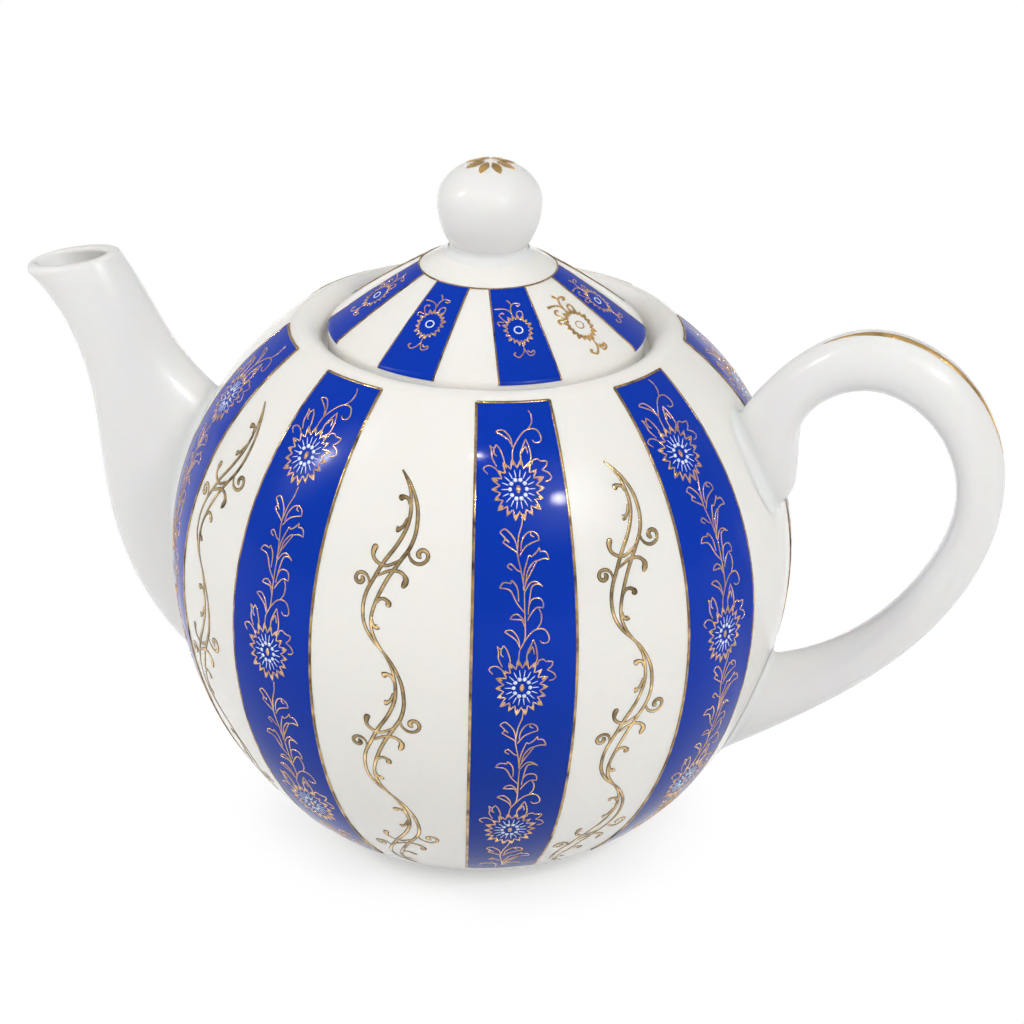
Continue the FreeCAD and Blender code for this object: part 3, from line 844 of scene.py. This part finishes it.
# %% One repeat of the vine
vine_line = 0.84
vine_pitch = 37.3
vine_least = 4  # points that a cut stroke needs to be worth laying
VINE_STEMS = [
    [(-1.0, 0.0), (1.4, -2.8), (3.5, -7.1), (4.1, -11.7), (3.4, -15.4), (1.7, -18.5), (-0.7, -22.7),
     (-2.6, -27.4), (-3.4, -31.4), (-2.7, -34.6), (-1.0, -37.3), (0.3, -38.8)],
    [(-0.8, -0.2), (1.2, -3.4), (2.2, -7.0), (2.2, -11.0), (0.7, -15.1), (-1.7, -19.1), (-3.4, -22.6),
     (-4.8, -25.8), (-5.3, -29.0), (-4.8, -32.4), (-3.0, -35.4), (-1.0, -37.4), (0.3, -38.9)],
]
VINE_HOOKS = [
    [(1.8, -18.2), (-0.8, -19.8), (-2.8, -19.6), (-4.1, -18.4), (-4.1, -16.7), (-3.4, -16.1)],
    [(-2.9, -22.2), (-0.3, -20.8), (2.0, -20.8), (3.3, -22.2), (2.7, -24.0)],
    [(1.9, -7.0), (1.5, -5.9), (0.5, -5.5), (-0.6, -6.0)],
    [(1.9, -9.6), (1.4, -11.2), (0.6, -12.1), (-0.2, -12.2)],
    [(-2.6, -28.0), (-1.9, -26.9), (-0.8, -26.7), (0.1, -27.4), (-0.1, -28.3)],
    [(-3.3, -31.0), (-2.9, -32.4), (-2.2, -32.9), (-1.7, -32.5)],
]
volute_steps = 22


def volute(start, centre, end_radius, turns, way):
    """Spiral from a start point in to an end radius about a centre; way is 1 for clockwise."""
    reach = (Vector(start) - Vector(centre)).length
    first = math.atan2(start[0] - centre[0], start[1] - centre[1])
    run = []
    for k in range(volute_steps + 1):
        share = k / volute_steps
        radius = reach * (end_radius / reach) ** share
        turn = first + way * 2 * math.pi * turns * share
        run.append((centre[0] + radius * math.sin(turn), centre[1] + radius * math.cos(turn)))
    return run


VINE_VOLUTES = [
    volute((3.3, -15.2), (5.9, -16.8), 0.45, 1.35, -1),
    volute((-4.5, -24.2), (-6.4, -23.4), 0.4, 1.3, -1),
]


def vine(mesh, place, top, bottom):
    """Lays one repeat of the vine under a top point, as far down as the panel goes."""
    def lay(points, shape):
        run = [(top[0] + u, top[1] + v) for u, v in points]
        run = [p for p in run if p[1] > bottom]
        if len(run) >= vine_least:
            lay_stroke(mesh, place, run, vine_line, shape)

    for stem in VINE_STEMS:
        lay(soft(stem), (0.5, 1, 1.05, 1, 0.9, 0.6))
    for hook in VINE_HOOKS:
        lay(soft(hook), (0.5, 0.8, 0.9, 0.9, 0.95, 1.0, 1.5, 1.7, 0.6))
    for spiral in VINE_VOLUTES:
        lay(spiral, (0.5, 0.9, 1, 1.05, 1.2, 1.4, 0.8))


print("A vine has", len(VINE_STEMS + VINE_HOOKS + VINE_VOLUTES), "strokes in one repeat")

# %% Vines on six panels
spout_panel = 180.0
handle_panel = -3.5
panel_clear = 20.0  # degrees from the spout and the handle within which a panel stays bare
vine_tops = {-134: (-2.0, 46.0), -91: (-0.4, 42.4), -46: (0.0, 43.8)}  # by the panel's angle
usual_top = (-0.5, 43.5)
vine_repeats = 3
vine_overrun = 2.0  # how far a vine runs on under the foot of the stripes
panels = []
next_middles = stripe_middles[1:] + [stripe_middles[0] + 360]
for middle, following in zip(stripe_middles, next_middles):
    panel = ((middle + following) / 2 + 180) % 360 - 180
    if min(abs(panel - handle_panel), abs(abs(panel) - spout_panel)) > panel_clear:
        panels.append(panel)
for k, panel in enumerate(panels):
    mesh = ([], [])
    place = placer(globe_rows, panel)
    u, v = vine_tops.get(round(panel), usual_top)
    for repeat in range(vine_repeats):
        vine(mesh, place, (u, v - vine_pitch * repeat), stripe_foot - vine_overrun)
    # The edge marks carry the painted shade along the vine's strokes.
    mark_edges(add_piece("vine_%d" % (k + 1), mesh, vine_gilt, "pot"))
print("Vines on the panels at", [round(p, 1) for p in panels])

# %% [markdown]
# ## Sprigs on the lid
# Every lid stripe carries a small flower with tendrils at both ends. The one wide white panel has a larger
# copy, laid on thicker.

# %% Lid sprigs
sprig_petals = 18
sprig_half = 3.2  # half the width of the flower
sprig_reach = 3.8  # half its length
sprig_rays = (0.72, 0.95)  # shares of the flower's reach where its rays start and end
sprig_ring = 0.30  # line of the ring in its middle
sprig_ring_half = 0.90
sprig_ring_reach = 0.86
SPRIG = [
    # tendrils on the knob's side
    [(-0.7, 2.4), (-0.6, 3.6), (-0.6, 4.7), (-0.5, 5.7), (-0.2, 6.3), (-0.5, 7.1), (-0.9, 7.6)],
    [(-0.7, 4.3), (-1.1, 5.0), (-1.8, 5.4), (-2.9, 5.5), (-3.8, 5.4)],
    [(-0.3, 6.1), (0.3, 6.7), (1.1, 6.7), (1.7, 6.4), (1.3, 6.0), (0.8, 6.2)],
    [(0.2, 2.9), (0.5, 4.2), (1.2, 4.7), (1.7, 4.2), (1.6, 3.2), (1.1, 2.4)],
    [(-2.3, 2.2), (-3.0, 3.2), (-3.2, 3.9), (-2.6, 4.4), (-2.2, 4.1)],
    [(-2.6, 2.0), (-3.5, 2.2), (-4.0, 1.9), (-3.7, 1.2)],
    # stalk and tendrils on the rim's side
    [(0.1, -3.2), (0.2, -4.6), (-0.2, -5.8), (-1.2, -6.7), (-1.9, -6.4), (-2.2, -6.0), (-1.8, -5.5)],
    [(0.2, -4.6), (0.6, -5.7), (1.0, -6.4), (1.7, -6.4), (2.3, -5.9), (2.1, -5.3), (1.5, -5.7), (0.8, -5.2)],
]


def sprig(gold, ring, place, v, scale, line):
    """Lays one sprig at a distance from the knob's ring, and its flower's middle ring in its own mesh."""
    size = ((0, v), sprig_half * scale, sprig_reach * scale)
    lay_stroke(gold, place, petals(*size, sprig_petals), line, closed=True)
    for ray in rays(*size, *sprig_rays, sprig_petals):
        lay_stroke(gold, place, ray, line, (0.4, 1, 0.4))
    middle = oval((0, v), sprig_ring_half * scale, sprig_ring_reach * scale)
    lay_stroke(ring, place, middle, sprig_ring, closed=True)
    for curl in SPRIG:
        run = [(scale * x, v + scale * y) for x, y in soft(curl)]
        lay_stroke(gold, place, run, line, (0.8, 1, 1, 1.5))


for k, middle in enumerate(lid_stripe_middles):
    gold = ([], [])
    ring = ([], [])
    sprig(gold, ring, placer(lid_rows, middle, transfer), v=-10.8, scale=1, line=0.28)
    add_piece("lid_sprig_%d" % (k + 1), gold, copper_gilt, "lid")
    add_piece("lid_sprig_ring_%d" % (k + 1), ring, white_enamel, "lid")

wide_panel = -24.0  # degrees
mesh = ([], [])
sprig(mesh, mesh, placer(lid_rows, wide_panel), v=-12.6, scale=1.12, line=0.55)
add_piece("lid_panel_sprig", mesh, yellow_gilt, "lid")
print("Sprigs on", len(lid_stripe_middles), "lid stripes and one panel")

# %% [markdown]
# ## Gold line on the handle
# One thin line runs along the handle's back and tapers away at both ends. Its path isn't written down: rays
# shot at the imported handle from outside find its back, and give the normal too.

# %% Handle line
handle_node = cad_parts["handle"]
loop_middle = Vector((88 * mm, 0, 92 * mm))
line_first = -25.0  # degrees from straight up, towards the handle's outer side
line_last = 66.0
line_steps = 60
line_aside = -1.4  # millimetres off the middle where the line starts, on the front side
line_width = 1.5
line_rise = 0.1
ray_start = 0.1  # metres out from the middle of the loop


def handle_back(angle, aside):
    """Point and normal on the handle's back, at an angle round the middle of its loop."""
    turn = math.radians(angle)
    out = Vector((math.sin(turn), 0, math.cos(turn)))
    start = loop_middle + out * ray_start + Vector((0, aside * mm, 0))
    _, spot, normal, _ = handle_node.ray_cast(start, -out)
    return spot, normal


mesh = ([], [])
angles = even_steps(line_first, line_last, line_steps)
line = [(angle, line_aside * math.cos(math.pi / 2 * k / line_steps)) for k, angle in enumerate(angles)]
lay_stroke(mesh, handle_back, line, line_width, (0.15, 0.9, 1, 1, 0.8, 0.1), rise=line_rise)
add_piece("handle_line", mesh, yellow_gilt, "pot")
print("Handle line from", [round(c / mm, 1) for c in handle_back(line_first, 0)[0]], "mm")

# %% [markdown]
# ## Luted joints
# The spout and the handle are cast apart and stuck on with slip, which squeezes out and is wiped to a soft
# hollow bead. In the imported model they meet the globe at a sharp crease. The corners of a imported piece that
# touch the globe give that crease, and a bead with a hollow face is swept along it.

# %% Beads of slip round the spout and the handle
luting_gap = 0.05 * mm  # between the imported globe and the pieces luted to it
slip_points = 7
slip_rings = 96
slip_sink = 0.3  # how far the bead's back reaches into the clay, as a share of its width
slip_crease = math.radians(50)  # corners sharper than this stay sharp
seat_facing = -0.9  # a corner that faces the globe more squarely than this is inside the seat


def globe_normal(spot):
    """Outward normal of the globe at a point on it."""
    flatness = belly_radius / globe_rise(spot.z > belly_height)
    return Vector((spot.x, spot.y, (spot.z - belly_height) * flatness ** 2)).normalized()


def globe_gap(spot):
    """About how far a point stands off the globe."""
    level = math.hypot(spot.x, spot.y) / belly_radius
    upright = (spot.z - belly_height) / globe_rise(spot.z > belly_height)
    return (math.hypot(level, upright) - 1) * belly_radius


def crease(node, low, high):
    """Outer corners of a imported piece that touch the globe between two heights, in order round the root."""
    touching = []
    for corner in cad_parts[node].data.vertices:
        near = abs(globe_gap(corner.co) - luting_gap) < luting_gap / 2 and low < corner.co.z < high
        if near and corner.normal.dot(globe_normal(corner.co)) > seat_facing:
            touching.append(corner)
    middle = sum((c.co for c in touching), Vector()) / len(touching)
    facing = globe_normal(middle)
    across = facing.cross(Vector((0, 0, 1))).normalized()
    upward = across.cross(facing)
    ring = []
    for corner in touching:
        out = corner.co - middle
        if out.dot(corner.normal) > 0:
            ring.append((math.atan2(out.dot(across), out.dot(upward)), corner.co, corner.normal))
    return sorted(ring, key=lambda row: row[0])


def evenly(ring):
    """Places and normals at even angles round a crease."""
    turn = 2 * math.pi
    wrapped = [(ring[-1][0] - turn, *ring[-1][1:])] + ring + [(ring[0][0] + turn, *ring[0][1:])]
    return [along(wrapped, angle) for angle in even_steps(-math.pi, math.pi, slip_rings)[:-1]]


def luting_bead(name, node, low, high, width):
    """Hollow-faced bead of slip along a crease."""
    corners = []
    for spot, side in evenly(crease(node, low, high)):
        facing = globe_normal(spot)
        on_globe = (side - facing * side.dot(facing)).normalized() * width
        on_piece = (facing - side * facing.dot(side)).normalized() * width
        for k in range(slip_points):
            t = k / (slip_points - 1)
            corners.append(spot + on_globe * (1 - t) ** 2 + on_piece * t ** 2)
        corners.append(spot - (on_globe + on_piece) * slip_sink)
    faces = tube_faces(0, slip_rings, slip_points + 1, True)
    piece = add_piece(name, (corners, faces), white_porcelain, "pot")
    piece.data.set_sharp_from_angle(angle=slip_crease)


luting_bead("spout_bead", "spout", low=0, high=2 * belly_height, width=2.2 * mm)
luting_bead("handle_upper_bead", "handle", low=belly_height, high=2 * belly_height, width=2.4 * mm)
luting_bead("handle_lower_bead", "handle", low=0, high=belly_height, width=1.6 * mm)
print("Beads of slip at three roots")

# %% Bead round the knob's foot
slip_steps = 72
knob_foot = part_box("lid_knob")[0].z
slip_edge = dome_spot(9.9 * mm)
slip_bend = Vector((9.0 * mm, knob_foot + 0.2 * mm))  # radius and height
slip_top = Vector((8.7 * mm, knob_foot + 0.9 * mm))
slip_back = Vector((8.0 * mm, knob_foot - 1.5 * mm))  # hidden in the clay
slip_shares = (0, 0.2, 0.4, 0.55, 0.7, 0.85, 1)  # places along the hollow face, from the dome up to the knob
section = [slip_edge * (1 - t) ** 2 + slip_bend * 2 * t * (1 - t) + slip_top * t ** 2 for t in slip_shares]
section.append(slip_back)
corners = []
for k in range(slip_steps):
    turn = 2 * math.pi * k / slip_steps
    out = Vector((math.cos(turn), math.sin(turn), 0))
    corners += [out * spot.x + Vector((0, 0, spot.y)) for spot in section]
faces = tube_faces(0, slip_steps, len(section), True)
bead = add_piece("knob_bead", (corners, faces), white_porcelain, "lid")
bead.data.set_sharp_from_angle(angle=slip_crease)
print("Bead under the knob, out to a radius of", round(slip_edge.x / mm, 1), "mm")

# %% [markdown]
# ## Floor
# The pot stands on white paper. Near the pot the paper is plain and takes the shadow. Further out it fades
# into pure white for the camera and for mirror rays, so that the picture ends in a white ground.

# %% White paper
floor_half = 6.0
shadow_radius = 0.006  # where the paper begins to fade
white_radius = 0.058  # where it is pure white
paper_colour = (0.93, 0.93, 0.93, 1)
paper_roughness = 0.9

floor_mesh = bpy.data.meshes.new("floor")
floor_corners = [(x * floor_half, y * floor_half, 0) for x, y in ((-1, -1), (1, -1), (1, 1), (-1, 1))]
floor_mesh.from_pydata(floor_corners, [], [(0, 1, 2, 3)])
floor = bpy.data.objects.new("floor", floor_mesh)
bpy.context.scene.collection.objects.link(floor)

paper, tree, sheet = new_finish("white_paper")
set_inputs(tree, sheet, {"Base Color": paper_colour, "Roughness": paper_roughness, "Specular IOR Level": 0})
glow = add_node(tree, "Emission", {"Strength": 1})
spot = add_node(tree, "TexCoord", {}).outputs["Object"]
distance = add_node(tree, "VectorMath", {0: spot}, operation="LENGTH").outputs["Value"]
fade = ramp(tree, distance, shadow_radius, white_radius, 0, 1)
light_path = add_node(tree, "LightPath", {}).outputs
seen = light_path["Is Camera Ray"]
for other in ("Is Glossy Ray", "Is Transmission Ray"):
    seen = add_node(tree, "Math", {0: seen, 1: light_path[other]}, operation="MAXIMUM").outputs["Value"]
share = add_node(tree, "Math", {0: seen, 1: fade}, operation="MULTIPLY").outputs["Value"]
both = add_node(tree, "MixShader", {"Fac": share, 1: sheet.outputs["BSDF"], 2: glow.outputs["Emission"]})
set_inputs(tree, tree.nodes["Material Output"], {"Surface": both.outputs["Shader"]})
floor_mesh.materials.append(paper)
print("Floor of", 2 * floor_half, "m")
